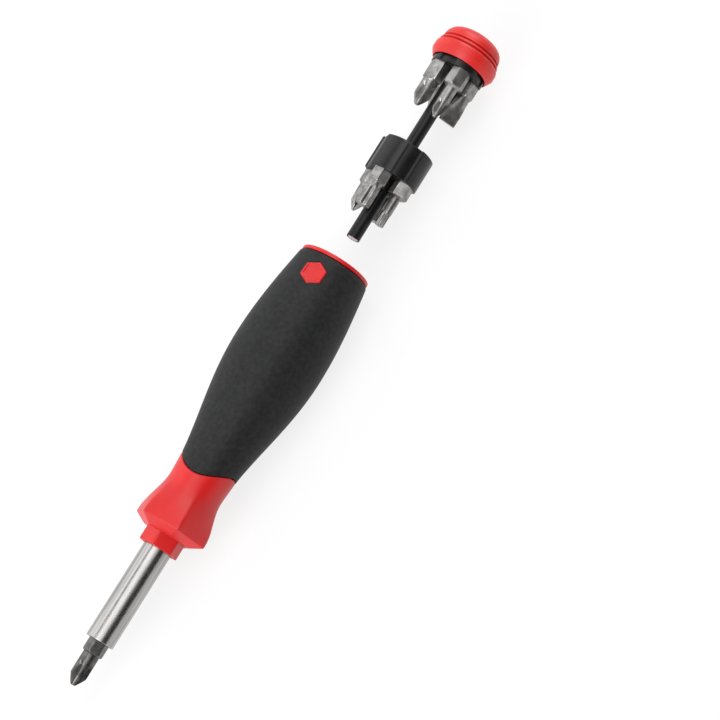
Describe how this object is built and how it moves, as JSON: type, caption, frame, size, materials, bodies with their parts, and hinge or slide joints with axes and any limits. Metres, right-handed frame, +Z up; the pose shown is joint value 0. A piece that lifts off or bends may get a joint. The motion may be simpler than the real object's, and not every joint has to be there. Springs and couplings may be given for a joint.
{
  "type": "multi-bit screwdriver",
  "caption": "Magnetic bit-holding screwdriver with a soft bellied grip, a hexagon flange and a bit magazine that slides out of the handle on a rod under its end cap.",
  "frame": {"origin": "under the middle of the tool's length, on the surface that its belly lies on", "axes": "+X along the tool from the driving tip to the cap, +Z up through the hexagon badge"},
  "size_m": [0.2594, 0.0328, 0.0328],
  "materials": {
    "red_plastic": "hard red moulding, semi-gloss",
    "red_cap": "red moulding, semi-gloss",
    "soft_grip": "soft black overmould, fine matt grain",
    "black_plastic": "black moulding, low sheen",
    "black_rod": "black coated rod",
    "polished_steel": "bright polished tube",
    "satin_steel": "satin bit steel",
    "dark_steel": "dark phosphated bit steel",
    "magnet": "nickel-plated magnet"
  },
  "bodies": {
    "handle": {"handle_core": "red_plastic", "grip_sleeve": "soft_grip", "hex_badge": "red_plastic", "bit_shaft": "polished_steel", "socket_magnet": "magnet", "keeper_magnet": "magnet"},
    "drive_bit": {"drive_bit": "dark_steel"},
    "magazine": {"magazine_rod": "black_rod", "rod_slug": "satin_steel", "lower_holder": "black_plastic", "upper_holder": "black_plastic", "end_cap": "red_cap"},
    "bit_cross_slender": {"bit_cross_slender": "satin_steel"},
    "bit_blade_wide": {"bit_blade_wide": "satin_steel"},
    "bit_blade_narrow": {"bit_blade_narrow": "satin_steel"},
    "bit_cross_large": {"bit_cross_large": "satin_steel"},
    "bit_star_large": {"bit_star_large": "satin_steel"},
    "bit_star_small": {"bit_star_small": "satin_steel"},
    "bit_star_medium": {"bit_star_medium": "satin_steel"},
    "bit_cross_small": {"bit_cross_small": "satin_steel"}
  },
  "joints": [
    {"name": "magazine_slide", "type": "slide", "parent": "handle", "child": "magazine", "axis": [1, 0, 0], "range_m": [-0.0832, 0]},
    {"name": "drive_bit_pull", "type": "slide", "parent": "handle", "child": "drive_bit", "axis": [-1, 0, 0], "range_m": [0, 0.00875]},
    {"name": "bit_cross_slender_pull", "type": "slide", "parent": "magazine", "child": "bit_cross_slender", "axis": [-1, 0, 0], "range_m": [0, 0.006]},
    {"name": "bit_blade_wide_pull", "type": "slide", "parent": "magazine", "child": "bit_blade_wide", "axis": [-1, 0, 0], "range_m": [0, 0.009]},
    {"name": "bit_blade_narrow_pull", "type": "slide", "parent": "magazine", "child": "bit_blade_narrow", "axis": [-1, 0, 0], "range_m": [0, 0.008]},
    {"name": "bit_cross_large_pull", "type": "slide", "parent": "magazine", "child": "bit_cross_large", "axis": [-1, 0, 0], "range_m": [0, 0.008]},
    {"name": "bit_star_large_pull", "type": "slide", "parent": "magazine", "child": "bit_star_large", "axis": [-1, 0, 0], "range_m": [0, 0.011]},
    {"name": "bit_star_small_pull", "type": "slide", "parent": "magazine", "child": "bit_star_small", "axis": [-1, 0, 0], "range_m": [0, 0.0085]},
    {"name": "bit_star_medium_pull", "type": "slide", "parent": "magazine", "child": "bit_star_medium", "axis": [-1, 0, 0], "range_m": [0, 0.011]},
    {"name": "bit_cross_small_pull", "type": "slide", "parent": "magazine", "child": "bit_cross_small", "axis": [-1, 0, 0], "range_m": [0, 0.01]}
  ]
}
